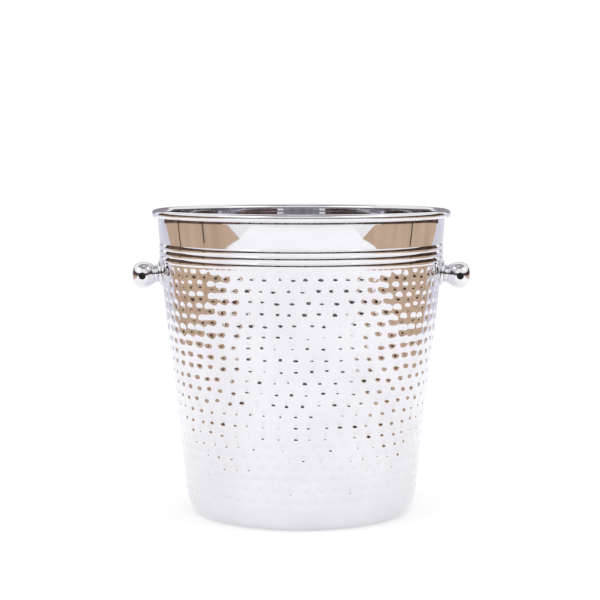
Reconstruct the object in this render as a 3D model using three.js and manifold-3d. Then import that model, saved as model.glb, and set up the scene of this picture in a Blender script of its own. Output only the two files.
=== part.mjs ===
// A tapered ice bucket for champagne, spun from one polished sheet, with two turned ball knobs for handles.
// Millimetres, +Z up. The origin is the centre of the base on the surface it stands on, and the knobs lie
// along X. The sheet's rim is rolled outwards round a wire, three beads are pressed under the collar, and
// each knob sits on a machine screw that comes through the wall from inside the bucket. A grub screw in the
// knob's front, which faces -Y, locks it there.
import * as THREE from "three";
import { mergeVertices } from "three/addons/utils/BufferGeometryUtils.js";
import Module from "manifold-3d";

// Driving dimensions
const HEIGHT = 213.5;
const RIM_RADIUS = 105;
const ROLL_RADIUS = 2.7;
const SHEET = 0.8;
const GAP = 0.3;

// Outer skin of the wall: a straight taper, radius = WALL_RADIUS_AT_TABLE + TAPER * z
const WALL_RADIUS_AT_TABLE = 80;
const TAPER = 0.1085;
const WALL_TOP = 176;

// Rounded corner between the wall and the base, a quarter of an ellipse
const CORNER_WIDTH = 6.8;
const CORNER_HEIGHT = 15.3;

// The middle of the base is pressed up, so that the bucket stands on a flat ring
const KICK_HEIGHT = 1.8;
const KICK_RADIUS = 50;
const STAND_RING_INNER_RADIUS = 56;

// Three rounded beads pressed outwards
const BEAD_COUNT = 3;
const BEAD_PITCH = 4.4;
const BEAD_HEIGHT = 0.45;
const BEADS_BOTTOM = 177;
const BEADS_BASE_RADIUS = 99;

// Smooth collar between the beads and the rolled rim, as [height, outer radius]
const COLLAR = [
  [193.3, 99.3],
  [197.3, 100.1],
  [201.3, 100.6],
  [205.8, 100.7],
];

// Handle knobs, set square to the tapered wall
const KNOB_HEIGHT = 168.2;
const BALL_RADIUS = 9.2;
const BALL_CENTRE = 13.5;
const BALL_END = 21;
// 2 would end the ball as an ellipse, and more than 2 flattens its tip
const BALL_TIP_FULLNESS = 2.5;
const NECK_RADIUS = 6.3;
const NECK_START = 2.4;
const NECK_END = 5.4;
const NECK_GROOVE = 0.35;
const ROSETTE_RADIUS = 9.25;
const ROSETTE_THICKNESS = 1.5;
const ROSETTE_EDGE = 0.5;

// Screw, washers and grub screw
const SCREW_RADIUS = 2.5;
const SCREW_CLEARANCE = 0.35;
const SCREW_REACH = 16.5;
const SCREW_HEAD_RADIUS = 4.6;
const SCREW_HEAD_HEIGHT = 2.8;
const SCREW_SLOT_WIDTH = 1.2;
const SCREW_SLOT_DEPTH = 1.2;
const SEAL_RADIUS = 7.5;
const SEAL_THICKNESS = 1.2;
const WASHER_RADIUS = 6;
const WASHER_THICKNESS = 1;
const GRUB_RADIUS = 2.2;
const GRUB_OUTER_END = 8.2;
const GRUB_SOCKET_RADIUS = 1.3;
const GRUB_SOCKET_DEPTH = 2.2;
// A flat seal stands this far off the middle of the curved wall, so that its edges clear the curve
const SEAL_STANDOFF = 0.8;

// Steps round each turned piece
const SHELL_STEPS = 48;
const KNOB_STEPS = 28;
const SCREW_STEPS = 20;
const WIRE_SIDES = 8;

const wasm = await Module();
wasm.setup();

const POLISHED = { color: 0xd9dadd, roughness: 0.08, metalness: 1 };
const PLATED = { color: 0xc9cbd0, roughness: 0.25, metalness: 1 };
const WIRE = { color: 0x9b9ca0, roughness: 0.5, metalness: 1 };
const RUBBER = { color: 0x26262a, roughness: 0.85, metalness: 0 };
const BLACKENED = { color: 0x1c1c1e, roughness: 0.4, metalness: 1 };

// Helpers

function wallRadius(z) {
  return WALL_RADIUS_AT_TABLE + TAPER * z;
}

// Turns a profile of [radius, height] points round +Z. It starts and ends on the axis, or closes on itself.
function turned(profile, steps) {
  const points = profile.map(([radius, height]) => new THREE.Vector2(radius, height));
  return new THREE.LatheGeometry(points, steps).rotateX(Math.PI / 2);
}

function solidOf(geometry) {
  const bare = geometry.clone();
  bare.deleteAttribute("normal");
  bare.deleteAttribute("uv");
  const merged = mergeVertices(bare, 1e-4);
  const vertProperties = merged.attributes.position.array;
  const triVerts = new Uint32Array(merged.index.array);
  return new wasm.Manifold(new wasm.Mesh({ numProp: 3, vertProperties, triVerts }));
}

function geometryOf(solid) {
  const mesh = solid.getMesh();
  const geometry = new THREE.BufferGeometry();
  geometry.setAttribute("position", new THREE.BufferAttribute(mesh.vertProperties, 3));
  geometry.setIndex(new THREE.BufferAttribute(mesh.triVerts, 1));
  geometry.computeVertexNormals();
  return geometry;
}

function piece(name, geometry, finish) {
  const mesh = new THREE.Mesh(geometry, new THREE.MeshStandardMaterial(finish));
  mesh.name = name;
  return mesh;
}

// Points along an arc from one angle to another, both included
function arc(centre, radius, from, to, steps) {
  return Array.from({ length: steps + 1 }, (_, i) => {
    const angle = from + ((to - from) * i) / steps;
    return [centre[0] + radius * Math.cos(angle), centre[1] + radius * Math.sin(angle)];
  });
}

// Shell

// The outer skin from the middle of the base to the foot of the roll
function outerSkin() {
  const skin = [
    [0, KICK_HEIGHT],
    [KICK_RADIUS, KICK_HEIGHT],
    [(KICK_RADIUS + STAND_RING_INNER_RADIUS) / 2, KICK_HEIGHT / 2],
    [STAND_RING_INNER_RADIUS, 0],
  ];
  const cornerSteps = 6;
  for (let i = 0; i <= cornerSteps; i++) {
    const angle = (Math.PI / 2) * (1 - i / cornerSteps);
    const z = CORNER_HEIGHT * (1 - Math.sin(angle));
    skin.push([wallRadius(z) - CORNER_WIDTH * (1 - Math.cos(angle)), z]);
  }
  skin.push([wallRadius(WALL_TOP), WALL_TOP]);
  const beadSteps = 4;
  for (let i = 0; i <= BEAD_COUNT * beadSteps; i++) {
    const rise = (BEAD_HEIGHT / 2) * (1 - Math.cos((2 * Math.PI * i) / beadSteps));
    skin.push([BEADS_BASE_RADIUS + rise, BEADS_BOTTOM + (BEAD_PITCH * i) / beadSteps]);
  }
  COLLAR.forEach(([z, radius]) => skin.push([radius, z]));
  return skin;
}

// Moves each point of a path square to it, to its left
function offset(path, distance) {
  return path.map((point, i) => {
    const before = path[Math.max(i - 1, 0)];
    const after = path[Math.min(i + 1, path.length - 1)];
    const along = new THREE.Vector2(after[0] - before[0], after[1] - before[1]).normalize();
    return [point[0] - along.y * distance, point[1] + along.x * distance];
  });
}

// One sheet of even thickness: out along the outer skin, round the edge of the curl and back inside.
// In the curl the two skins change places, because the sheet turns outwards over the wire.
function shellProfile() {
  const outer = outerSkin();
  const inner = offset(outer, SHEET);
  inner[0][0] = 0;
  const centre = [RIM_RADIUS - ROLL_RADIUS, HEIGHT - ROLL_RADIUS];
  const start = Math.PI;
  const end = (-110 * Math.PI) / 180;
  const curlSteps = 13;
  const overWire = arc(centre, ROLL_RADIUS - SHEET, start, end, curlSteps);
  const overRoll = arc(centre, ROLL_RADIUS, start, end, curlSteps);
  return [...outer, ...overWire, ...overRoll.reverse(), ...inner.reverse()];
}

// Where a knob stands on the wall, and which way it points: +Z of a knob's own frame is its axis, outwards
function knobSeat(sign) {
  const droop = Math.atan(TAPER);
  const seat = new THREE.Group();
  seat.position.set(sign * wallRadius(KNOB_HEIGHT), 0, KNOB_HEIGHT);
  seat.rotation.y = sign * (Math.PI / 2 + droop);
  return seat;
}

// A plain closed cylinder along +Z between two heights, used as a cutter
function rod(radius, from, to, steps) {
  return turned([[0, from], [radius, from], [radius, to], [0, to]], steps);
}

function shell() {
  let solid = solidOf(turned(shellProfile(), SHELL_STEPS));
  for (const sign of [-1, 1]) {
    const seat = knobSeat(sign);
    seat.updateMatrix();
    const drill = rod(SCREW_RADIUS + SCREW_CLEARANCE, -5, 5, SCREW_STEPS).applyMatrix4(seat.matrix);
    solid = solid.subtract(solidOf(drill));
  }
  return piece("bucket_shell", geometryOf(solid), POLISHED);
}

function rimWire() {
  const radius = ROLL_RADIUS - SHEET - GAP;
  const ring = new THREE.TorusGeometry(RIM_RADIUS - ROLL_RADIUS, radius, WIRE_SIDES, SHELL_STEPS);
  const wire = piece("rim_wire", ring, WIRE);
  wire.position.z = HEIGHT - ROLL_RADIUS;
  return wire;
}

// Knobs and their fixings, each built along +Z with the wall's outer skin at zero

function knob(side) {
  const boreRadius = SCREW_RADIUS + SCREW_CLEARANCE;
  const boreEnd = SCREW_REACH + SCREW_CLEARANCE;
  const neckAngle = Math.acos(NECK_RADIUS / BALL_RADIUS);
  const innerHalf = (BALL_CENTRE - NECK_END) / Math.sin(neckAngle);
  const outerHalf = BALL_END - BALL_CENTRE;
  const ballSteps = 8;
  const profile = [
    [0, boreEnd],
    [boreRadius, boreEnd],
    [boreRadius, NECK_START],
    [NECK_RADIUS - NECK_GROOVE, NECK_START],
    [NECK_RADIUS, NECK_START + NECK_GROOVE],
    [NECK_RADIUS, NECK_END - NECK_GROOVE],
    [NECK_RADIUS - NECK_GROOVE, NECK_END],
  ];
  for (let i = 0; i <= ballSteps; i++) {
    const angle = -neckAngle + ((neckAngle + Math.PI / 2) * i) / ballSteps;
    const half = angle < 0 ? innerHalf : outerHalf;
    const power = angle < 0 ? 1 : 2 / BALL_TIP_FULLNESS;
    const radius = BALL_RADIUS * Math.max(Math.cos(angle), 0) ** power;
    const along = Math.sign(angle) * half * Math.abs(Math.sin(angle)) ** power;
    profile.push([radius, BALL_CENTRE + along]);
  }
  profile[profile.length - 1][0] = 0;
  const crossHole = rod(GRUB_RADIUS + GAP, 0, BALL_RADIUS * 2, SCREW_STEPS);
  crossHole.rotateX(Math.PI / 2).translate(0, 0, BALL_CENTRE);
  const solid = solidOf(turned(profile, KNOB_STEPS)).subtract(solidOf(crossHole));
  return piece(side + "_knob", geometryOf(solid), POLISHED);
}

// The grub screw lies across the knob and stops just short of the machine screw
function grubScrew(side) {
  const inner = SCREW_RADIUS + GAP;
  const profile = [
    [0, inner],
    [GRUB_RADIUS - 0.5, inner],
    [GRUB_RADIUS, inner + 0.5],
    [GRUB_RADIUS, GRUB_OUTER_END - 0.3],
    [GRUB_RADIUS - 0.3, GRUB_OUTER_END],
    [0, GRUB_OUTER_END],
  ];
  const socket = rod(GRUB_SOCKET_RADIUS, GRUB_OUTER_END - GRUB_SOCKET_DEPTH, GRUB_OUTER_END + 1, 6);
  const solid = solidOf(turned(profile, SCREW_STEPS)).subtract(solidOf(socket));
  const geometry = geometryOf(solid).rotateX(Math.PI / 2).translate(0, 0, BALL_CENTRE);
  return piece(side + "_grub_screw", geometry, BLACKENED);
}

// A thin round plate under the knob. Its back is cut to the wall's own curve.
function rosette(side, seat) {
  const hole = SCREW_RADIUS + SCREW_CLEARANCE;
  const top = GAP + ROSETTE_THICKNESS;
  const plate = turned(
    [
      [hole, -1],
      [ROSETTE_RADIUS, -1],
      [ROSETTE_RADIUS, top - ROSETTE_EDGE],
      [ROSETTE_RADIUS - ROSETTE_EDGE, top],
      [hole, top],
      [hole, -1],
    ],
    KNOB_STEPS,
  );
  const reach = 20;
  const low = KNOB_HEIGHT - reach;
  const high = KNOB_HEIGHT + reach;
  const wall = turned(
    [[0, low], [wallRadius(low) + GAP, low], [wallRadius(high) + GAP, high], [0, high]],
    SHELL_STEPS * 2,
  );
  seat.updateMatrix();
  wall.applyMatrix4(seat.matrix.clone().invert());
  return piece(side + "_rosette", geometryOf(solidOf(plate).subtract(solidOf(wall))), POLISHED);
}

// A flat ring inside the bucket, between two distances from the outer skin
function ring(name, radius, from, to, finish) {
  const hole = SCREW_RADIUS + SCREW_CLEARANCE;
  const profile = [[hole, from], [radius, from], [radius, to], [hole, to], [hole, from]];
  return piece(name, turned(profile, KNOB_STEPS), finish);
}

function screw(name, headSeat) {
  const headTop = headSeat - SCREW_HEAD_HEIGHT;
  const crown = SCREW_HEAD_HEIGHT * 0.55;
  const domeSteps = 4;
  const profile = [];
  for (let i = 0; i <= domeSteps; i++) {
    const angle = (Math.PI / 2) * (i / domeSteps);
    profile.push([SCREW_HEAD_RADIUS * Math.sin(angle), headTop + crown * (1 - Math.cos(angle))]);
  }
  profile.push([SCREW_HEAD_RADIUS, headSeat]);
  profile.push([SCREW_RADIUS, headSeat]);
  profile.push([SCREW_RADIUS, SCREW_REACH - 0.5]);
  profile.push([SCREW_RADIUS - 0.5, SCREW_REACH]);
  profile.push([0, SCREW_REACH]);
  const slot = new THREE.BoxGeometry(SCREW_HEAD_RADIUS * 3, SCREW_SLOT_WIDTH, SCREW_SLOT_DEPTH * 2);
  slot.translate(0, 0, headTop);
  const solid = solidOf(turned(profile, SCREW_STEPS)).subtract(solidOf(slot));
  return piece(name, geometryOf(solid), PLATED);
}

function handle(side, sign) {
  const seat = knobSeat(sign);
  const sealOutside = -SHEET - SEAL_STANDOFF;
  const sealInside = sealOutside - SEAL_THICKNESS;
  const washerInside = sealInside - GAP - WASHER_THICKNESS;
  seat.add(knob(side));
  seat.add(grubScrew(side));
  seat.add(rosette(side, seat));
  seat.add(ring(side + "_seal", SEAL_RADIUS, sealInside, sealOutside, RUBBER));
  seat.add(ring(side + "_washer", WASHER_RADIUS, washerInside, sealInside - GAP, PLATED));
  seat.add(screw(side + "_screw", washerInside - GAP));
  return seat;
}

const bucket = new THREE.Group();
bucket.add(shell());
bucket.add(rimWire());
bucket.add(handle("left", -1));
bucket.add(handle("right", 1));

export default bucket;
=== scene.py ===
import math

import bmesh
import bpy
import numpy as np
from bpy.props import FloatProperty, FloatVectorProperty, IntProperty, PointerProperty
from mathutils import Matrix, Vector


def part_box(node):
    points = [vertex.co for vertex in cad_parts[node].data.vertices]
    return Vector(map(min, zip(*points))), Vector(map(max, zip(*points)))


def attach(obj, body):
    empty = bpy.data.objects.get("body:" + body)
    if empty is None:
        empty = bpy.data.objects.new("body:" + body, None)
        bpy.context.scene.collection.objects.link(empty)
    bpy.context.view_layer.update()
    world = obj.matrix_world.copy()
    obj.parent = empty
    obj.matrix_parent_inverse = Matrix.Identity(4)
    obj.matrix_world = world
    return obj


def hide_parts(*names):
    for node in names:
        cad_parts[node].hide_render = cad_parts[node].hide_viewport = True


bl_info = {
    "name": "Hammered Champagne Bucket",
    "version": (1, 0, 0),
    "blender": (4, 5, 0),
    "location": "3D View > Sidebar > Bucket",
    "description": "Builds a hammered champagne bucket with ball knobs round its packed frame",
    "category": "Add Mesh",
}

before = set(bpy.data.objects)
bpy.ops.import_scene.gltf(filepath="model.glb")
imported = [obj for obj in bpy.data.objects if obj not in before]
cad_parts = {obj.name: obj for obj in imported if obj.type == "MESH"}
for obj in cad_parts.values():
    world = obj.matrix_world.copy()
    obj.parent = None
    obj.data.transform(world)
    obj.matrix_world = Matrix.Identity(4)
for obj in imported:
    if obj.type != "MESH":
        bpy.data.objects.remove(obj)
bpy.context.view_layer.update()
SHELL_LOW, SHELL_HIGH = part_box("bucket_shell")
MM = 0.001


def length(name, description, millimetres):
    return FloatProperty(
        name=name,
        description=description,
        default=millimetres * MM,
        min=0,
        precision=5,
        subtype="DISTANCE",
        unit="LENGTH",
    )


def colour(name, description, value):
    return FloatVectorProperty(
        name=name,
        description=description,
        default=value,
        size=3,
        min=0,
        max=1,
        subtype="COLOR",
    )


# Sizes and colours


class ShellSizes(bpy.types.PropertyGroup):
    height: length("Height", "From the table to the top of the rolled rim", SHELL_HIGH.z / MM)
    rim_radius: length("Rim radius", "Outside of the rolled rim", SHELL_HIGH.y / MM)
    roll_radius: length("Roll radius", "Outside of the rolled rim's section", 2.7)
    sheet: length("Sheet", "Thickness of the metal", 0.8)
    wall_radius: length("Wall radius", "The straight wall's radius where its line meets the table", 80)
    taper: FloatProperty(
        name="Taper", description="How much the radius grows with height", default=0.1085
    )
    wall_top: length("Wall top", "Where the hammered wall ends, under the lowest bead", 176.9)
    corner_width: length("Corner width", "How far the bottom corner reaches in", 6.8)
    corner_height: length("Corner height", "How far the bottom corner reaches up", 15.3)
    kick_height: length("Kick height", "How far the middle of the base is pressed up", 1.8)
    kick_radius: length("Kick radius", "The raised middle of the base", 50)
    ring_radius: length("Ring radius", "The inner edge of the ring that the bucket stands on", 56)


class BeadSizes(bpy.types.PropertyGroup):
    count: IntProperty(name="Beads", description="Beads pressed under the collar", default=3, min=1)
    pitch: length("Pitch", "From one bead to the next", 4.4)
    height: length("Height", "How far a bead stands out", 0.5)
    bottom: length("Bottom", "The foot of the lowest bead", 177)
    radius: length("Radius", "The beads' own base radius", 99.36)


class DentSizes(bpy.types.PropertyGroup):
    rows: IntProperty(name="Rows", description="Rows of hammer dents", default=22, min=1)
    top: length("Top row", "Height of the highest row", 172.8)
    row_pitch: length("Row pitch", "From one row down to the next", 7.63)
    spacing: length("Spacing", "From one dent to the next in the highest row", 9.3)
    spacing_growth: length("Spacing growth", "Added to the spacing with each row down", 0.17)
    widest: length("Widest spacing", "The spacing stops growing here", 10.5)
    radius: length("Radius", "Half the width of a dent", 3.9)
    depth: length("Depth", "How deep the hammer went", 0.61)
    seed: IntProperty(name="Seed", description="Which run of hand-made irregularity", default=7)


class KnobSizes(bpy.types.PropertyGroup):
    height: length("Height", "Where the knob's axis meets the wall", 168.2)
    ball_radius: length("Ball radius", "Widest radius of the ball", 9.2)
    ball_centre: length("Ball centre", "Distance of the widest place from the wall", 13.5)
    ball_end: length("Ball end", "Distance of the ball's tip from the wall", 21)
    tip_fullness: FloatProperty(
        name="Tip fullness",
        description="2 ends the ball as an ellipse, more flattens its tip",
        default=2.5,
    )
    neck_radius: length("Neck radius", "The short neck under the ball", 6.3)
    neck_start: length("Neck start", "Where the neck leaves the rosette", 2.4)
    neck_end: length("Neck end", "Where the neck meets the ball", 5.4)
    rosette_radius: length("Rosette radius", "The thin plate against the wall", 9.25)
    rosette_front: length("Rosette front", "Distance of the plate's face from the wall", 1.8)
    gap: length("Gap", "Clearance between pieces that touch", 0.3)
    bore: length("Bore radius", "Hole for the screw", 2.85)


class FixingSizes(bpy.types.PropertyGroup):
    screw_radius: length("Screw radius", "The machine screw", 2.5)
    screw_reach: length("Screw reach", "How far the screw goes into the knob", 16.5)
    head_radius: length("Head radius", "The screw's domed head", 4.6)
    head_height: length("Head height", "The screw's domed head", 2.8)
    slot_width: length("Slot width", "The driver slot", 1.2)
    seal_radius: length("Seal radius", "The rubber sealing washer", 7.5)
    seal_thickness: length("Seal thickness", "The rubber sealing washer", 1.2)
    seal_standoff: length("Seal standoff", "From the wall's inside to the seal", 0.8)
    washer_radius: length("Washer radius", "The flat steel washer", 6)
    washer_thickness: length("Washer thickness", "The flat steel washer", 1)
    wire_radius: length("Wire radius", "The wire inside the rolled rim", 1.6)
    grub_radius: length("Grub screw radius", "The headless screw across each knob", 2.2)
    grub_end: length("Grub screw end", "Distance of its outer end from the knob's axis", 8.2)
    grub_socket: length("Grub socket", "Radius of the six-sided socket over its corners", 1.3)
    grub_socket_depth: length("Grub socket depth", "How deep the key goes in", 2.2)


class FinishColours(bpy.types.PropertyGroup):
    polish_bright: colour("Polish, bright", "Freshly polished sheet", (0.8, 0.79, 0.828))
    # Besides the polish's random deeper tone, 0.86 of polish_deep is the painted shade in the hollows
    # of the shell and the trim.
    polish_deep: colour("Polish, deep", "Where the polish is a little thinner", (0.765, 0.752, 0.79))
    trim_bright: colour("Trim, bright", "Polished turned knobs", (0.83, 0.822, 0.855))
    steel: colour("Steel", "Screws, washers and rim wire", (0.56, 0.56, 0.58))
    blackened: colour("Blackened steel", "Grub screws", (0.045, 0.047, 0.045))
    rubber: colour("Rubber", "Sealing washers", (0.018, 0.018, 0.02))


class StageSizes(bpy.types.PropertyGroup):
    camera_distance: length("Camera distance", "From the bucket's axis", 1199.3)
    camera_above: length("Camera above the rim", "Height over the rolled rim", 43.0)
    camera_side: length("Camera to the side", "Distance to the left of the axis", 0.9)
    camera_tilt: FloatProperty(
        name="Camera tilt",
        description="Downwards",
        default=math.radians(5.12),
        subtype="ANGLE",
        unit="ROTATION",
    )
    lens: FloatProperty(name="Lens", description="Focal length", default=102, subtype="DISTANCE_CAMERA")
    card_distance: length("Card distance", "Radius of the ring of reflection cards", 3000)


# Selecting, drawing section lines and turning them


def nothing_selected():
    if bpy.context.object and bpy.context.object.mode != "OBJECT":
        bpy.ops.object.mode_set(mode="OBJECT")
    bpy.ops.object.select_all(action="DESELECT")


def only(obj):
    nothing_selected()
    obj.select_set(True)
    bpy.context.view_layer.objects.active = obj


def draw_section(name, points):
    """A section line in the XZ plane, left open in edit mode with everything selected."""
    nothing_selected()
    bpy.ops.mesh.primitive_circle_add(vertices=3, radius=MM, location=(0, 0, 0))
    obj = bpy.context.object
    obj.name = obj.data.name = name
    bpy.ops.object.mode_set(mode="EDIT")
    bpy.ops.mesh.select_mode(type="VERT")
    bpy.ops.mesh.select_all(action="SELECT")
    bpy.ops.mesh.merge(type="CENTER")
    here = Vector((points[0][0], 0, points[0][1]))
    bpy.ops.transform.translate(value=here)
    for radius, height in points[1:]:
        there = Vector((radius, 0, height))
        bpy.ops.mesh.extrude_region_move(TRANSFORM_OT_translate={"value": there - here})
        here = there
    bpy.ops.mesh.select_all(action="SELECT")
    return obj


def turn_section(name, points, steps, closed=False):
    """A section of (radius, height) points turned once round +Z, merged and facing outwards."""
    obj = draw_section(name, points)
    if closed:
        bpy.ops.mesh.select_all(action="DESELECT")
        mesh = bmesh.from_edit_mesh(obj.data)
        mesh.verts.ensure_lookup_table()
        ends = [v for v in mesh.verts if len(v.link_edges) == 1]
        for v in ends:
            v.select_set(True)
        mesh.select_flush_mode()
        bmesh.update_edit_mesh(obj.data)
        bpy.ops.mesh.edge_face_add()
        bpy.ops.mesh.select_all(action="SELECT")
    bpy.ops.mesh.spin(steps=steps, angle=2 * math.pi, center=(0, 0, 0), axis=(0, 0, 1))
    bpy.ops.mesh.select_all(action="SELECT")
    bpy.ops.mesh.remove_doubles(threshold=1e-6)
    bpy.ops.mesh.normals_make_consistent(inside=False)
    bpy.ops.object.mode_set(mode="OBJECT")
    return obj


def arc(centre, radius, start, end, steps):
    angles = [start + (end - start) * i / steps for i in range(steps + 1)]
    return [(centre[0] + radius * math.cos(a), centre[1] + radius * math.sin(a)) for a in angles]


def offset(path, distance):
    """Each point of a path moved square to it, to its left."""
    moved = []
    for i, (radius, height) in enumerate(path):
        before, after = path[max(i - 1, 0)], path[min(i + 1, len(path) - 1)]
        along = Vector((after[0] - before[0], after[1] - before[1])).normalized()
        moved.append((radius - along.y * distance, height + along.x * distance))
    return moved


def smooth(obj, degrees):
    only(obj)
    bpy.ops.object.shade_smooth_by_angle(angle=math.radians(degrees))


def settle(obj, name):
    """Names the object and its mesh, and leaves its place in the mesh."""
    only(obj)
    bpy.ops.object.transform_apply(location=True, rotation=True, scale=True)
    obj.name = obj.data.name = name
    return obj


def cut_away(obj, cutter):
    """Takes one closed shape out of another and throws the cutter away."""
    only(obj)
    cut = obj.modifiers.new("cut", "BOOLEAN")
    cut.operation = "DIFFERENCE"
    cut.solver = "EXACT"
    cut.object = cutter
    bpy.ops.object.modifier_apply(modifier=cut.name)
    bpy.data.objects.remove(cutter)


def place_on_body(obj, slot, *nodes):
    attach(obj, "root")
    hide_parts(*nodes)


# Finishes


def add_socket(group, name, direction, kind, value=None):
    socket = group.interface.new_socket(name=name, in_out=direction, socket_type=kind)
    if value is not None:
        socket.default_value = value
    return socket


def new_group(name, inputs, outputs):
    group = bpy.data.node_groups.new(name, "ShaderNodeTree")
    for socket_name, value in inputs:
        add_socket(group, socket_name, "INPUT", "NodeSocketFloat", value)
    for socket_name in outputs:
        add_socket(group, socket_name, "OUTPUT", "NodeSocketFloat")
    return group, group.nodes.new("NodeGroupInput"), group.nodes.new("NodeGroupOutput")


def math_node(tree, operation, first, second=None, clamp=False):
    node = tree.nodes.new("ShaderNodeMath")
    node.operation = operation
    node.use_clamp = clamp
    for socket, value in zip(node.inputs, (first, second)):
        if value is None:
            continue
        if isinstance(value, bpy.types.NodeSocket):
            tree.links.new(value, socket)
        else:
            socket.default_value = value
    return node.outputs[0]


def range_node(tree, value, low, high, to_low=0.0, to_high=1.0):
    node = tree.nodes.new("ShaderNodeMapRange")
    node.interpolation_type = "SMOOTHSTEP"
    tree.links.new(value, node.inputs["Value"])
    limits = {"From Min": low, "From Max": high, "To Min": to_low, "To Max": to_high}
    for name, amount in limits.items():
        node.inputs[name].default_value = amount
    return node.outputs["Result"]


def noise_node(tree, scale, detail, stretch=None, roughness=0.5):
    """Noise on the piece's own coordinates, in features per metre."""
    place = tree.nodes.new("ShaderNodeTexCoord").outputs["Object"]
    if stretch:
        mapping = tree.nodes.new("ShaderNodeMapping")
        mapping.inputs["Scale"].default_value = stretch
        tree.links.new(place, mapping.inputs["Vector"])
        place = mapping.outputs["Vector"]
    node = tree.nodes.new("ShaderNodeTexNoise")
    tree.links.new(place, node.inputs["Vector"])
    if isinstance(scale, bpy.types.NodeSocket):
        tree.links.new(scale, node.inputs["Scale"])
    else:
        node.inputs["Scale"].default_value = scale
    node.inputs["Detail"].default_value = detail
    node.inputs["Roughness"].default_value = roughness
    return node.outputs["Fac"]


def make_polish_group():
    """Uneven polish: slow clouding, fine hairlines from wiping, and the sheet's slight waviness."""
    group, given, out = new_group(
        "Uneven polish",
        [("Cloud scale", 30.0), ("Haze", 0.03), ("Hairlines", 0.03), ("Wave scale", 45.0)],
        ["Tone", "Roughness", "Waviness"],
    )
    cloud = range_node(group, noise_node(group, given.outputs["Cloud scale"], 4.0), 0.35, 0.7)
    hair = range_node(group, noise_node(group, 620.0, 2.0, (1.0, 1.0, 9.0)), 0.55, 0.8)
    wipe = range_node(group, noise_node(group, 260.0, 3.0, (1.0, 1.0, 0.12)), 0.5, 0.85)
    lines = math_node(group, "MAXIMUM", hair, wipe)
    haze = math_node(group, "MULTIPLY", cloud, given.outputs["Haze"])
    marks = math_node(group, "MULTIPLY", lines, given.outputs["Hairlines"])
    group.links.new(cloud, out.inputs["Tone"])
    group.links.new(math_node(group, "ADD", haze, marks), out.inputs["Roughness"])
    wave = noise_node(group, given.outputs["Wave scale"], 1.5)
    group.links.new(wave, out.inputs["Waviness"])
    return group


def make_wear_and_shade_group():
    """Edges rubbed bright, and painted shade: a mask that darkens hollows such as the dents and the
    creases between beads.
    """
    group, given, out = new_group("Edge wear and hollow shade", [("Softness", 0.06)], ["Edges", "Hollow shade"])
    point = group.nodes.new("ShaderNodeNewGeometry").outputs["Pointiness"]
    grain = math_node(group, "MULTIPLY", noise_node(group, 180.0, 3.0), 0.02)
    shifted = math_node(group, "SUBTRACT", math_node(group, "ADD", point, grain), 0.51)
    scaled = math_node(group, "DIVIDE", shifted, given.outputs["Softness"])
    group.links.new(math_node(group, "MULTIPLY", scaled, 1.0, clamp=True), out.inputs["Edges"])
    # Painted shade: this mask darkens concave places, where shade would fall.
    group.links.new(math_node(group, "MULTIPLY", scaled, -1.0, clamp=True), out.inputs["Hollow shade"])
    return group


def make_dust_group():
    """A trace of dust and dried water spots on faces that look up."""
    group, given, out = new_group("Dust and spots", [("Amount", 0.2), ("Spot scale", 160.0)], ["Mask"])
    normal = group.nodes.new("ShaderNodeNewGeometry").outputs["Normal"]
    split = group.nodes.new("ShaderNodeSeparateXYZ")
    group.links.new(normal, split.inputs["Vector"])
    upward = range_node(group, split.outputs["Z"], 0.35, 0.95)
    noise = noise_node(group, given.outputs["Spot scale"], 4.0, roughness=0.7)
    spots = math_node(group, "MULTIPLY", upward, range_node(group, noise, 0.5, 0.75))
    mask = math_node(group, "MULTIPLY", spots, given.outputs["Amount"])
    group.links.new(mask, out.inputs["Mask"])
    return group


def group_node(tree, name, **values):
    node = tree.nodes.new("ShaderNodeGroup")
    node.node_tree = bpy.data.node_groups[name]
    for socket_name, value in values.items():
        node.inputs[socket_name.replace("_", " ")].default_value = value
    return node


def mix_colour(tree, factor, first, second):
    node = tree.nodes.new("ShaderNodeMix")
    node.data_type = "RGBA"
    tree.links.new(factor, node.inputs["Factor"])
    for socket, value in ((node.inputs["A"], first), (node.inputs["B"], second)):
        if isinstance(value, bpy.types.NodeSocket):
            tree.links.new(value, socket)
        else:
            socket.default_value = (*value, 1)
    return node.outputs["Result"]


def metal(name, bright, deep, roughness, polish, dust, wave_height):
    """A polished or satin metal from the shared groups."""
    material = bpy.data.materials.new(name)
    material.use_nodes = True
    material.diffuse_color = (*bright, 1)
    tree = material.node_tree
    shader = tree.nodes["Principled BSDF"]
    shader.inputs["Metallic"].default_value = 1.0
    finish = group_node(tree, "Uneven polish", **polish)
    wear_and_shade = group_node(tree, "Edge wear and hollow shade")
    dusty = group_node(tree, "Dust and spots", **dust)
    toned = mix_colour(tree, finish.outputs["Tone"], bright, deep)
    # Painted shade: concave places are darkened towards 0.86 of the deep tone.
    hollow_shade_colour = tuple(0.86 * c for c in deep)
    hollow = mix_colour(tree, math_node(tree, "MULTIPLY", wear_and_shade.outputs["Hollow shade"], 0.5), toned, hollow_shade_colour)
    final = mix_colour(tree, dusty.outputs["Mask"], hollow, (0.62, 0.61, 0.6))
    tree.links.new(final, shader.inputs["Base Color"])
    rough = math_node(tree, "ADD", finish.outputs["Roughness"], roughness)
    rough = math_node(tree, "ADD", rough, math_node(tree, "MULTIPLY", dusty.outputs["Mask"], 0.35))
    tree.links.new(rough, shader.inputs["Roughness"])
    bump = tree.nodes.new("ShaderNodeBump")
    bump.inputs["Strength"].default_value = 1.0
    bump.inputs["Distance"].default_value = wave_height
    tree.links.new(finish.outputs["Waviness"], bump.inputs["Height"])
    tree.links.new(bump.outputs["Normal"], shader.inputs["Normal"])
    return material


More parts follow.
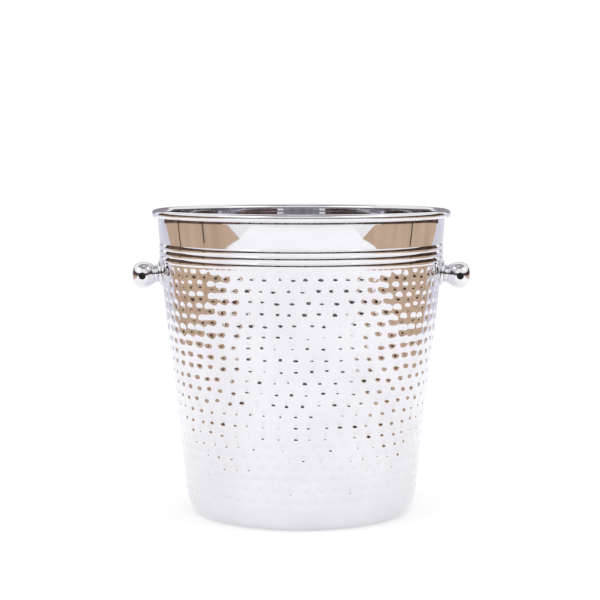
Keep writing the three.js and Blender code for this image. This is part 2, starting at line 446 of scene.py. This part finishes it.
def make_finishes(colours):
    make_polish_group()
    make_wear_and_shade_group()
    make_dust_group()
    metal(
        "Polished shell",
        colours.polish_bright,
        colours.polish_deep,
        0.035,
        {"Cloud_scale": 26.0, "Haze": 0.03, "Hairlines": 0.02, "Wave_scale": 40.0},
        {"Amount": 0.12},
        0.00004,
    )
    metal(
        "Polished trim",
        colours.trim_bright,
        colours.polish_deep,
        0.03,
        {"Cloud_scale": 120.0, "Haze": 0.03, "Hairlines": 0.03, "Wave_scale": 160.0},
        {"Amount": 0.1},
        0.00001,
    )
    metal(
        "Plain steel",
        colours.steel,
        tuple(0.8 * c for c in colours.steel),
        0.26,
        {"Cloud_scale": 220.0, "Haze": 0.12, "Hairlines": 0.12, "Wave_scale": 900.0},
        {"Amount": 0.3},
        0.00002,
    )
    metal(
        "Blackened steel",
        colours.blackened,
        (0.032, 0.03, 0.03),
        0.32,
        {"Cloud_scale": 500.0, "Haze": 0.15, "Hairlines": 0.1, "Wave_scale": 1400.0},
        {"Amount": 0.02},
        0.00001,
    )
    rubber = bpy.data.materials.new("Seal rubber")
    rubber.use_nodes = True
    rubber.diffuse_color = (*colours.rubber, 1)
    tree = rubber.node_tree
    shader = tree.nodes["Principled BSDF"]
    grain = noise_node(tree, 1500.0, 3.0)
    dusty = group_node(tree, "Dust and spots", Amount=0.5)
    tone = mix_colour(tree, range_node(tree, grain, 0.35, 0.7), colours.rubber, (0.045, 0.044, 0.044))
    final = mix_colour(tree, dusty.outputs["Mask"], tone, (0.2, 0.19, 0.18))
    tree.links.new(final, shader.inputs["Base Color"])
    tree.links.new(range_node(tree, grain, 0.2, 0.8, 0.6, 0.85), shader.inputs["Roughness"])
    bump = tree.nodes.new("ShaderNodeBump")
    bump.inputs["Distance"].default_value = 0.00006
    tree.links.new(grain, bump.inputs["Height"])
    tree.links.new(bump.outputs["Normal"], shader.inputs["Normal"])


class BUCKET_OT_finishes(bpy.types.Operator):
    """Mixes the polished metals, the plain and blackened steel and the rubber"""

    bl_idname = "bucket.finishes"
    bl_label = "Finishes"

    def execute(self, context):
        make_finishes(context.scene.bucket_colours)
        return {"FINISHED"}


def paint(obj, material):
    obj.data.materials.clear()
    obj.data.materials.append(bpy.data.materials[material])


# Shell

# How far round the wire the rim's curl turns
CURL_START = math.pi
CURL_END = math.radians(-110)
# Spacing of the wall's rings, outside and inside
OUTSIDE_STEP = 1.3 * MM
INSIDE_STEP = 1.9 * MM
# The last of the wall turns out a little to meet the beads
TURN_OUT_HEIGHT = 3 * MM
TURN_OUT = 0.16 * MM
# The collar flares fast above the beads and stands upright under the roll
COLLAR_FLARE = 1.26 * MM
COLLAR_CURVE = 1.8
# Vertices this close belong to the same seam
SEAM_REACH = 2e-5

BASE_COLUMNS = 66
WALL_COLUMNS = 6 * BASE_COLUMNS
COLLAR_COLUMNS = 2 * BASE_COLUMNS
INSIDE_COLUMNS = 4 * BASE_COLUMNS


def wall_radius(sizes, height):
    return sizes.wall_radius + sizes.taper * height


def base_section(sizes):
    """The outer skin's middle, out to the ring that the bucket stands on."""
    rise, start, end = sizes.kick_height, sizes.kick_radius, sizes.ring_radius
    points = [(0, rise), (0.5 * start, rise)]
    for i in range(7):
        part = i / 6
        points.append((start + (end - start) * part, rise * (0.5 + 0.5 * math.cos(math.pi * part))))
    return points


def wall_section(sizes, step):
    """The outer skin from the standing ring up the hammered wall to the foot of the beads."""
    start = sizes.ring_radius + 2 * MM
    points = [(start, 0), (start + 8 * MM, 0)]
    corner_steps = max(6, round(18 * MM / step))
    for i in range(corner_steps + 1):
        angle = 0.5 * math.pi * (1 - i / corner_steps)
        height = sizes.corner_height * (1 - math.sin(angle))
        points.append((wall_radius(sizes, height) - sizes.corner_width * (1 - math.cos(angle)), height))
    rise = sizes.wall_top - sizes.corner_height
    rings = round(rise / step)
    for i in range(1, rings + 1):
        height = sizes.corner_height + rise * i / rings
        turn_out = max(0, height - sizes.wall_top + TURN_OUT_HEIGHT) / TURN_OUT_HEIGHT
        points.append((wall_radius(sizes, height) + TURN_OUT * turn_out**2, height))
    return points


def collar_section(sizes, beads):
    """The outer skin from the lowest bead up the flared collar."""
    points = []
    steps = 10
    for bead in range(beads.count):
        for i in range(steps):
            part = i / steps
            swell = 1 - (2 * part - 1) ** 2
            height = beads.bottom + beads.pitch * (bead + part)
            points.append((beads.radius + beads.height * swell, height))
    top = beads.bottom + beads.pitch * beads.count
    points.append((beads.radius, top))
    reach = sizes.height - 2 * sizes.roll_radius - top
    for i in range(1, 10):
        part = i / 9
        out = COLLAR_FLARE * (1 - (1 - part) ** COLLAR_CURVE)
        points.append((beads.radius + out, top + reach * part))
    return points


def build_shell(sizes, beads):
    centre = (sizes.rim_radius - sizes.roll_radius, sizes.height - sizes.roll_radius)
    base = base_section(sizes)
    wall = wall_section(sizes, OUTSIDE_STEP)
    collar = collar_section(sizes, beads)
    inside_wall = offset(wall_section(sizes, INSIDE_STEP), sizes.sheet)
    inside_base = offset(base, sizes.sheet)
    inside_base[0] = (0, inside_base[0][1])
    over_wire = arc(centre, sizes.roll_radius - sizes.sheet, CURL_START, CURL_END, 20)
    over_roll = arc(centre, sizes.roll_radius, CURL_START, CURL_END, 26)
    collar_out = collar + over_wire
    collar_in = over_roll[::-1] + offset(collar, sizes.sheet)[::-1]
    parts = [
        turn_section("base", base, BASE_COLUMNS),
        turn_section("wall", wall, WALL_COLUMNS),
        turn_section("collar", collar_out, COLLAR_COLUMNS),
        turn_section("roll", collar_in, COLLAR_COLUMNS),
        turn_section("inside_wall", inside_wall[::-1], INSIDE_COLUMNS),
        turn_section("inside_base", inside_base[::-1], BASE_COLUMNS),
    ]
    seams = [
        (base[-1], wall[0]),
        (wall[-1], collar_out[0]),
        (collar_out[-1], collar_in[0]),
        (collar_in[-1], inside_wall[-1]),
        (inside_wall[0], inside_base[-1]),
    ]
    nothing_selected()
    for part in parts:
        part.select_set(True)
    shell = parts[1]
    bpy.context.view_layer.objects.active = shell
    bpy.ops.object.join()
    bpy.ops.object.mode_set(mode="EDIT")
    bpy.ops.mesh.select_mode(type="EDGE")
    for first, second in seams:
        bpy.ops.mesh.select_all(action="DESELECT")
        mesh = bmesh.from_edit_mesh(shell.data)
        for edge in mesh.edges:
            if not edge.is_boundary:
                continue
            v = edge.verts[0].co
            place = (math.hypot(v.x, v.y), v.z)
            for radius, height in (first, second):
                if abs(place[0] - radius) < SEAM_REACH and abs(place[1] - height) < SEAM_REACH:
                    edge.select_set(True)
        bmesh.update_edit_mesh(shell.data)
        bpy.ops.mesh.bridge_edge_loops()
    bpy.ops.mesh.select_all(action="SELECT")
    bpy.ops.mesh.normals_make_consistent(inside=False)
    bpy.ops.object.mode_set(mode="OBJECT")
    return shell


# Makes a dent steeper below than above. Chosen.
HAMMER_LEAN = 1.05
# How deep a dent is by its row, counted down from the beads. Chosen.
BLOW_ROWS = (0, 13, 18)
BLOW_STRENGTHS = (1, 1.22, 1.05, 0.8)
# The sheet stays plain where the rosettes and the seals sit on it
PLAIN_SEAT = 9 * MM
PLAIN_SEAT_EDGE = 3 * MM


def press_dents(shell, sizes, dents, knobs):
    """Hammer dents: shallow round bowls in rows, pressed through both skins of the sheet."""
    draw = np.random.default_rng(dents.seed)
    count = len(shell.data.vertices)
    co = np.empty(count * 3)
    shell.data.vertices.foreach_get("co", co)
    co = co.reshape(-1, 3)
    radius = np.hypot(co[:, 0], co[:, 1])
    turn = np.arctan2(co[:, 1], co[:, 0])
    droop = math.atan(sizes.taper)
    # The corner's lowest rows are pressed square to the straight wall, and fade out round the corner
    behind = wall_radius(sizes, co[:, 2]) - radius
    on_wall = (co[:, 2] < sizes.wall_top) & (co[:, 2] > 3 * MM) & (behind < 4 * MM)
    push = np.zeros(count)
    for row in range(dents.rows):
        middle = dents.top - row * dents.row_pitch
        spacing = min(dents.spacing + row * dents.spacing_growth, dents.widest)
        around = wall_radius(sizes, middle)
        number = round(2 * math.pi * around / spacing)
        angles = (np.arange(number) + draw.random()) * 2 * math.pi / number
        angles += draw.normal(0, 0.6 * MM, number) / around
        heights = middle + draw.normal(0, 0.42 * MM, number)
        blow = np.interp(row, (*BLOW_ROWS, dents.rows), BLOW_STRENGTHS)
        depths = blow * dents.depth * np.clip(draw.normal(1, 0.12, number), 0.7, 1.3)
        reaches = dents.radius * np.clip(draw.normal(1, 0.06, number), 0.85, 1.15)
        fade = np.clip((middle - 4 * MM) / (14 * MM), 0, 1)
        near = np.flatnonzero(on_wall & (np.abs(co[:, 2] - middle) < dents.radius + 2.5 * MM))
        across = (turn[near][:, None] - angles[None, :] + math.pi) % (2 * math.pi) - math.pi
        along = (co[near, 2][:, None] - heights[None, :]) / math.cos(droop)
        far = np.sqrt((across * around) ** 2 + along**2) / reaches[None, :]
        bowls = np.where(far < 1, 0.5 + 0.5 * np.cos(math.pi * np.minimum(far, 1)), 0)
        bowls *= depths[None, :]
        bowls *= 1 - HAMMER_LEAN * along / reaches[None, :]
        push[near] += fade * bowls.sum(1)
    from_knob = np.hypot(co[:, 1], co[:, 2] - knobs.height)
    push *= np.clip((from_knob - PLAIN_SEAT) / PLAIN_SEAT_EDGE, 0, 1)
    level, upward = math.cos(droop), math.sin(droop)
    inwards = np.stack([-np.cos(turn) * level, -np.sin(turn) * level, np.full(count, upward)], 1)
    co += inwards * push[:, None]
    shell.data.vertices.foreach_set("co", co.ravel())
    shell.data.update()


class BUCKET_OT_shell(bpy.types.Operator):
    """Spins the sheet of the bucket, with its beads, collar and rolled rim, and hammers its wall"""

    bl_idname = "bucket.shell"
    bl_label = "Bucket shell"

    def execute(self, context):
        scene = context.scene
        shell = build_shell(scene.bucket_shell, scene.bucket_beads)
        knobs = scene.bucket_knobs
        press_dents(shell, scene.bucket_shell, scene.bucket_dents, knobs)
        for side in (-1, 1):
            nothing_selected()
            bpy.ops.mesh.primitive_cylinder_add(vertices=48, radius=knobs.bore, depth=10 * MM)
            drill = bpy.context.object
            drill.matrix_world = seat(scene.bucket_shell, knobs, side)
            cut_away(shell, drill)
        settle(shell, "hammered_shell")
        smooth(shell, 28)
        paint(shell, "Polished shell")
        place_on_body(shell, "polished_shell", "bucket_shell")
        return {"FINISHED"}


class BUCKET_OT_rim_wire(bpy.types.Operator):
    """Bends the wire that the rim is rolled round"""

    bl_idname = "bucket.rim_wire"
    bl_label = "Rim wire"

    def execute(self, context):
        sizes, fixings = context.scene.bucket_shell, context.scene.bucket_fixings
        centre = (sizes.rim_radius - sizes.roll_radius, sizes.height - sizes.roll_radius)
        section = arc(centre, fixings.wire_radius, 0, 2 * math.pi * 11 / 12, 11)
        wire = turn_section("wire", section, COLLAR_COLUMNS, closed=True)
        settle(wire, "curled_rim_wire")
        smooth(wire, 60)
        paint(wire, "Plain steel")
        place_on_body(wire, "plain_steel", "rim_wire")
        return {"FINISHED"}


# Knobs and fixings, each built along +Z with the wall's outer skin at zero

THREAD_PITCH = 0.8 * MM


def seat(sizes, knobs, side):
    """From a knob's own axis to its place on the wall. Side is -1 for left and 1 for right."""
    droop = math.atan(sizes.taper)
    place = Matrix.Translation((side * wall_radius(sizes, knobs.height), 0, knobs.height))
    return place @ Matrix.Rotation(side * (0.5 * math.pi + droop), 4, "Y")


def mount_pair(source, sizes, knobs, name, node, material, slot, degrees):
    """Copies a finished piece to both sides, each with its own mesh."""
    for side, word in ((-1, "left"), (1, "right")):
        nothing_selected()
        copy = source.copy()
        copy.data = source.data.copy()
        bpy.context.scene.collection.objects.link(copy)
        copy.matrix_world = seat(sizes, knobs, side)
        settle(copy, f"{word}_{name}")
        smooth(copy, degrees)
        paint(copy, material)
        place_on_body(copy, slot, f"{word}_{node}")
    bpy.data.objects.remove(source)


def knob_section(knobs, end):
    edge = 0.35 * MM
    points = [(0, end + 0.6 * MM), (0.7 * knobs.bore, end), (knobs.bore, end - 0.4 * MM)]
    points += [(knobs.bore, knobs.neck_start + edge), (knobs.bore + edge, knobs.neck_start)]
    points += [(knobs.neck_radius - 0.7 * MM, knobs.neck_start)]
    points += arc((knobs.neck_radius - edge, knobs.neck_start + edge), edge, -math.pi / 2, 0, 5)
    # Two turned grooves round the neck
    length_of_neck = knobs.neck_end - knobs.neck_start
    for part in (0.36, 0.98):
        middle = knobs.neck_start + part * length_of_neck
        for depth, along in ((0, -0.42), (0.12, -0.34), (0.5, 0), (0.12, 0.34), (0, 0.42)):
            points.append((knobs.neck_radius - depth * MM, middle + along * MM))
    start = points[-1]
    lean = math.acos(min(1, start[0] / knobs.ball_radius))
    inner = (knobs.ball_centre - start[1]) / math.sin(lean)
    outer = knobs.ball_end - knobs.ball_centre
    steps = 30
    for i in range(1, steps + 1):
        angle = -lean + (lean + math.pi / 2) * i / steps
        half, power = (inner, 1) if angle < 0 else (outer, 2 / knobs.tip_fullness)
        radius = knobs.ball_radius * max(0, math.cos(angle)) ** power
        along = half * abs(math.sin(angle)) ** power
        points.append((radius, knobs.ball_centre + math.copysign(along, angle)))
    points[-1] = (0, knobs.ball_end)
    return points


class BUCKET_OT_knobs(bpy.types.Operator):
    """Turns the two ball knobs with their short grooved necks"""

    bl_idname = "bucket.knobs"
    bl_label = "Ball knobs"

    def execute(self, context):
        scene = context.scene
        sizes, knobs, fixings = scene.bucket_shell, scene.bucket_knobs, scene.bucket_fixings
        bore_end = fixings.screw_reach + knobs.bore - fixings.screw_radius
        knob = turn_section("knob", knob_section(knobs, bore_end), 96)
        nothing_selected()
        bpy.ops.mesh.primitive_cylinder_add(
            vertices=64,
            radius=fixings.grub_radius + knobs.gap,
            depth=2 * knobs.ball_radius,
            location=(0, -knobs.ball_radius, knobs.ball_centre),
            rotation=(0.5 * math.pi, 0, 0),
        )
        cut_away(knob, bpy.context.object)
        mount_pair(knob, sizes, knobs, "ball_knob", "knob", "Polished trim", "polished_trim", 35)
        return {"FINISHED"}


class BUCKET_OT_rosettes(bpy.types.Operator):
    """Turns the two thin rosettes and hollows their backs to the wall's curve"""

    bl_idname = "bucket.rosettes"
    bl_label = "Rosettes"

    def execute(self, context):
        scene = context.scene
        sizes, knobs = scene.bucket_shell, scene.bucket_knobs
        front, reach, edge = knobs.rosette_front, knobs.rosette_radius, 0.5 * MM
        back_edge = knobs.gap + 0.3 * MM
        face = front + 0.15 * MM
        section = [(knobs.bore, knobs.gap), (0.5 * (knobs.bore + reach), knobs.gap)]
        section += [(reach - 0.3 * MM, knobs.gap), (reach, back_edge)]
        section += arc((reach - edge, front - edge), edge, 0, math.pi / 2, 6)
        section += [(reach - 1.5 * MM, front), (reach - 1.8 * MM, face)]
        section += [(7.2 * MM, face), (knobs.bore, face)]
        plate = turn_section("rosette", section, 72, closed=True)
        # The back follows the wall, which falls away to each side of the knob's axis
        around = wall_radius(sizes, knobs.height)
        for v in plate.data.vertices:
            if v.co.z < back_edge + 0.01 * MM:
                v.co.z -= around - math.sqrt(around**2 - v.co.y**2)
        names = ("rosette_plate", "rosette", "Polished trim", "polished_trim")
        mount_pair(plate, sizes, knobs, *names, 35)
        return {"FINISHED"}


class BUCKET_OT_fixings(bpy.types.Operator):
    """Makes the slotted screws, steel washers and rubber seals inside the bucket"""

    bl_idname = "bucket.fixings"
    bl_label = "Screws, washers and seals"

    def execute(self, context):
        scene = context.scene
        sizes, knobs, fixings = scene.bucket_shell, scene.bucket_knobs, scene.bucket_fixings
        seal_out = -sizes.sheet - fixings.seal_standoff
        seal_in = seal_out - fixings.seal_thickness
        washer_out = seal_in - knobs.gap
        washer_in = washer_out - fixings.washer_thickness
        head_seat = washer_in - knobs.gap
        seal = self.flat_ring(knobs, fixings.seal_radius, seal_in, seal_out, 0.4 * MM)
        mount_pair(seal, sizes, knobs, "seal_ring", "seal", "Seal rubber", "seal_rubber", 40)
        washer = self.flat_ring(knobs, fixings.washer_radius, washer_in, washer_out, 0.15 * MM)
        mount_pair(washer, sizes, knobs, "flat_washer", "washer", "Plain steel", "plain_steel", 40)
        self.screws(sizes, knobs, fixings, head_seat)
        return {"FINISHED"}

    def flat_ring(self, knobs, radius, low, high, edge):
        """A ring with rounded edges round the screw's hole."""
        section = []
        for centre, start in (
            ((radius - edge, low + edge), -math.pi / 2),
            ((radius - edge, high - edge), 0),
            ((knobs.bore + edge, high - edge), math.pi / 2),
            ((knobs.bore + edge, low + edge), math.pi),
        ):
            section += arc(centre, edge, start, start + math.pi / 2, 4)
        return turn_section("ring", section, 56, closed=True)

    def screws(self, sizes, knobs, fixings, head_seat):
        top = head_seat - fixings.head_height
        crown = 0.55 * fixings.head_height
        section = []
        for i in range(9):
            angle = 0.5 * math.pi * i / 8
            section.append((fixings.head_radius * math.sin(angle), top + crown * (1 - math.cos(angle))))
        section[0] = (0, top)
        radius = fixings.screw_radius
        edge = 0.2 * MM
        section += [(fixings.head_radius, head_seat - edge), (fixings.head_radius - edge, head_seat)]
        section += [(radius, head_seat)]
        plain = 1.5 * MM
        reach = fixings.screw_reach
        turns = int((reach - plain - head_seat - plain) / THREAD_PITCH)
        for i in range(turns):
            low = head_seat + plain + i * THREAD_PITCH
            section += [(radius, low), (radius - 0.35 * MM, low + 0.5 * THREAD_PITCH)]
        section += [(radius, reach - plain), (radius, reach - 0.5 * MM)]
        section += [(radius - 0.5 * MM, reach), (0, reach)]
        screw = turn_section("screw", section, 48)
        nothing_selected()
        bpy.ops.mesh.primitive_cube_add(size=1, location=(0, 0, top))
        cutter = bpy.context.object
        cutter.scale = (3 * fixings.head_radius, fixings.slot_width, 2 * fixings.slot_width)
        cut_away(screw, cutter)
        mount_pair(screw, sizes, knobs, "slotted_screw", "screw", "Plain steel", "plain_steel", 35)


class BUCKET_OT_grub_screws(bpy.types.Operator):
    """Makes the blackened grub screw that locks each knob, with its six-sided socket to the front"""

    bl_idname = "bucket.grub_screws"
    bl_label = "Grub screws"

    def execute(self, context):
        scene = context.scene
        sizes, knobs, fixings = scene.bucket_shell, scene.bucket_knobs, scene.bucket_fixings
        radius, low, high = fixings.grub_radius, fixings.screw_radius + knobs.gap, fixings.grub_end
        section = [(0, low), (radius - 0.5 * MM, low), (radius, low + 0.5 * MM)]
        turns = int((high - low - 1.2 * MM) / THREAD_PITCH)
        for i in range(turns):
            start = low + 0.7 * MM + i * THREAD_PITCH
            section += [(radius, start), (radius - 0.3 * MM, start + 0.5 * THREAD_PITCH)]
        section += [(radius, high - 0.35 * MM), (radius - 0.35 * MM, high), (0, high)]
        grub = turn_section("grub", section, 48)
        nothing_selected()
        bpy.ops.mesh.primitive_cylinder_add(
            vertices=6,
            radius=fixings.grub_socket,
            depth=2 * fixings.grub_socket_depth,
            location=(0, 0, high),
        )
        cut_away(grub, bpy.context.object)
        across = Matrix.Rotation(0.5 * math.pi, 4, "X")
        grub.matrix_world = Matrix.Translation((0, 0, knobs.ball_centre)) @ across
        settle(grub, "grub")
        names = ("socket_grub_screw", "grub_screw", "Blackened steel", "blackened_steel")
        mount_pair(grub, sizes, knobs, *names, 35)
        return {"FINISHED"}


# Stage

# The white floor, as (distance behind the bucket's axis, half its width), in metres. It glows a little.
FLOOR_OUTLINE = ((0.9, 0.57), (0.0, 0.6), (-0.27, 0.65), (-0.71, 0.77), (-2.0, 1.6))
FLOOR_DROP = 0.4 * MM


def glow(name, first, second, scale, stretch):
    """A plain lit card whose tone drifts a little."""
    material = bpy.data.materials.new(name)
    material.use_nodes = True
    tree = material.node_tree
    tree.nodes.clear()
    out = tree.nodes.new("ShaderNodeOutputMaterial")
    light = tree.nodes.new("ShaderNodeEmission")
    light.inputs["Strength"].default_value = 1.0
    tone = range_node(tree, noise_node(tree, scale, 2.0, stretch), 0.35, 0.65)
    tree.links.new(mix_colour(tree, tone, first, second), light.inputs["Color"])
    tree.links.new(light.outputs["Emission"], out.inputs["Surface"])
    return material


def card(name, material, distance, low, high, start, end, lean_start=0, lean_end=0):
    """A curved card between two heights and two headings, all in degrees.

    Heading 0 is the front and 90 the right side. The leans turn the top corners further round.
    """
    steps = max(1, round((end - start) / 4))
    heights = [distance * math.tan(math.radians(angle)) for angle in (low, high)]
    obj = draw_section(name, [(distance, height) for height in heights])
    turn = math.radians(end - start)
    bpy.ops.mesh.spin(steps=steps, angle=turn, center=(0, 0, 0), axis=(0, 0, -1))
    bpy.ops.object.mode_set(mode="OBJECT")
    top = max(v.co.z for v in obj.data.vertices)
    for v in obj.data.vertices:
        if v.co.z > top - MM:
            part = math.degrees(math.atan2(v.co.y, v.co.x)) % 360 / (end - start)
            lean = lean_start + (lean_end - lean_start) * min(part, 1)
            v.co = Matrix.Rotation(math.radians(lean), 3, "Z") @ v.co
    obj.matrix_world = Matrix.Rotation(math.radians(start - 90), 4, "Z")
    settle(obj, name)
    obj.data.materials.append(material)
    obj.visible_camera = obj.visible_diffuse = obj.visible_shadow = False
    return obj


class BUCKET_OT_stage(bpy.types.Operator):
    """Sets the pale floor, soft light, reflection cards and camera"""

    bl_idname = "bucket.stage"
    bl_label = "Stage"

    def execute(self, context):
        scene = context.scene
        stage = scene.bucket_stage
        self.floor()
        self.cards(stage)
        self.light(scene)
        self.camera(scene, stage)
        scene.view_settings.view_transform = "Standard"
        return {"FINISHED"}

    def floor(self):
        back, wide = FLOOR_OUTLINE[0]
        floor = draw_section("pale_floor", [(-wide, 0), (wide, 0)])
        bpy.ops.transform.translate(value=(0, back, -FLOOR_DROP))
        for (back, wide), (front, wider) in zip(FLOOR_OUTLINE, FLOOR_OUTLINE[1:]):
            bpy.ops.mesh.extrude_region_move(TRANSFORM_OT_translate={"value": (0, front - back, 0)})
            bpy.ops.transform.resize(value=(wider / wide, 1, 1))
        bpy.ops.object.mode_set(mode="OBJECT")
        settle(floor, "pale_floor")
        material = bpy.data.materials.new("Pale floor")
        material.use_nodes = True
        shader = material.node_tree.nodes["Principled BSDF"]
        tone = range_node(material.node_tree, noise_node(material.node_tree, 3.0, 2.0), 0.3, 0.7)
        mixed = mix_colour(material.node_tree, tone, (0.62, 0.62, 0.625), (0.65, 0.65, 0.653))
        material.node_tree.links.new(mixed, shader.inputs["Base Color"])
        shader.inputs["Emission Color"].default_value = (0.93, 0.93, 0.94, 1)
        shader.inputs["Emission Strength"].default_value = 0.47
        shader.inputs["Roughness"].default_value = 0.9
        shader.inputs["Specular IOR Level"].default_value = 0.0
        floor.data.materials.append(material)

    def cards(self, stage):
        distance = stage.card_distance
        boards = glow("Wooden boards", (0.56, 0.41, 0.29), (0.66, 0.49, 0.35), 2.0, (1, 1, 0.2))
        brown = glow("Brown room", (0.06, 0.035, 0.025), (0.15, 0.095, 0.07), 1.6, (1, 1, 0.3))
        dark = glow("Dark room", (0.035, 0.03, 0.042), (0.22, 0.19, 0.2), 3.2, (2.2, 2.2, 0.25))
        ceiling = glow("Grey ceiling", (0.36, 0.34, 0.36), (0.44, 0.42, 0.44), 1.0, (1, 1, 1))
        rear = glow("Room behind", (0.24, 0.23, 0.25), (0.4, 0.39, 0.42), 1.4, (1, 1, 0.5))
        pale = glow("Pale wall", (0.71, 0.7, 0.78), (0.78, 0.77, 0.85), 1.2, (1, 1, 0.5))
        post = glow("Dark posts", (0.02, 0.014, 0.012), (0.05, 0.036, 0.03), 6.0, (1, 1, 0.2))
        for word, sign in (("left", -1), ("right", 1)):
            for name, material, low, high, near, far, near_lean, far_lean in (
                ("boards_low", boards, -32, -8.2, 48, 118, 0, 9),
                ("boards_high", boards, -8.2, 0.3, 48, 127, 12, 9),
                ("room_side", brown, 0.3, 22, 64, 140, 0, 0),
                ("room_corner", brown, 1, 22, 48, 64, 0, 0),
                ("room_front", dark, 1.5, 23, 0, 48, 0, 0),
                ("pale_rear", pale, -30, 5, 117, 180, 0, 0),
                ("room_rear", rear, 5, 25, 150, 180, 0, 0),
            ):
                ring = distance * (1.02 if material == pale else 1)
                start, end = sorted((sign * near, sign * far))
                lean_start, lean_end = (near_lean, far_lean) if sign > 0 else (-far_lean, -near_lean)
                card(f"{name}_{word}", material, ring, low, high, start, end, lean_start, lean_end)
        for name, heading in (("post_far_left", -113), ("post_near_left", -83), ("post_right", 97)):
            card(name, post, 0.97 * distance, -8, 5, heading - 0.7, heading + 0.7)
        card("ceiling", ceiling, 1.0 * distance, 59, 84, -180, 180)

    def light(self, scene):
        world = bpy.data.worlds.new("White studio")
        world.use_nodes = True
        world.node_tree.nodes["Background"].inputs["Color"].default_value = (1, 1, 1, 1)
        world.node_tree.nodes["Background"].inputs["Strength"].default_value = 1.0
        scene.world = world
        for name, place, size, power in (
            ("soft_box_left", (-1.3, -0.9, 1.9), 1.2, 4.5),
            ("soft_box_right", (1.3, -0.7, 1.9), 1.2, 4.0),
        ):
            data = bpy.data.lights.new(name, "AREA")
            data.shape = "SQUARE"
            data.size = size
            data.energy = power
            lamp = bpy.data.objects.new(name, data)
            scene.collection.objects.link(lamp)
            lamp.location = place
            aim = Vector((0, 0, 0.1)) - Vector(place)
            lamp.rotation_euler = aim.to_track_quat("-Z", "Y").to_euler()

    def camera(self, scene, stage):
        data = bpy.data.cameras.new("Camera")
        data.lens = stage.lens
        data.sensor_width = 36
        camera = bpy.data.objects.new("Camera", data)
        scene.collection.objects.link(camera)
        height = SHELL_HIGH.z + stage.camera_above
        camera.location = (-stage.camera_side, -stage.camera_distance, height)
        camera.rotation_euler = (0.5 * math.pi - stage.camera_tilt, 0, 0)
        scene.camera = camera


# Panel and registration


class BUCKET_PT_panel(bpy.types.Panel):
    """Builds the bucket piece by piece"""

    bl_idname = "BUCKET_PT_panel"
    bl_label = "Champagne Bucket"
    bl_space_type = "VIEW_3D"
    bl_region_type = "UI"
    bl_category = "Bucket"

    def draw(self, context):
        for name in SETTINGS:
            box = self.layout.box()
            group = getattr(context.scene, name)
            for key in group.__annotations__:
                box.prop(group, key)
        for operator in OPERATORS:
            self.layout.operator(operator.bl_idname)


SETTINGS = {
    "bucket_shell": ShellSizes,
    "bucket_beads": BeadSizes,
    "bucket_dents": DentSizes,
    "bucket_knobs": KnobSizes,
    "bucket_fixings": FixingSizes,
    "bucket_colours": FinishColours,
    "bucket_stage": StageSizes,
}
OPERATORS = (
    BUCKET_OT_finishes,
    BUCKET_OT_shell,
    BUCKET_OT_rim_wire,
    BUCKET_OT_knobs,
    BUCKET_OT_rosettes,
    BUCKET_OT_fixings,
    BUCKET_OT_grub_screws,
    BUCKET_OT_stage,
)


def register():
    for group in SETTINGS.values():
        bpy.utils.register_class(group)
    for name, group in SETTINGS.items():
        setattr(bpy.types.Scene, name, PointerProperty(type=group))
    for operator in OPERATORS:
        bpy.utils.register_class(operator)
    bpy.utils.register_class(BUCKET_PT_panel)


def unregister():
    bpy.utils.unregister_class(BUCKET_PT_panel)
    for operator in reversed(OPERATORS):
        bpy.utils.unregister_class(operator)
    for name in SETTINGS:
        delattr(bpy.types.Scene, name)
    for group in SETTINGS.values():
        bpy.utils.unregister_class(group)


def main():
    register()
    bpy.ops.bucket.finishes()
    bpy.ops.bucket.shell()
    bpy.ops.bucket.rim_wire()
    bpy.ops.bucket.knobs()
    bpy.ops.bucket.rosettes()
    bpy.ops.bucket.fixings()
    bpy.ops.bucket.grub_screws()
    bpy.ops.bucket.stage()


if __name__ == "__main__":
    main()
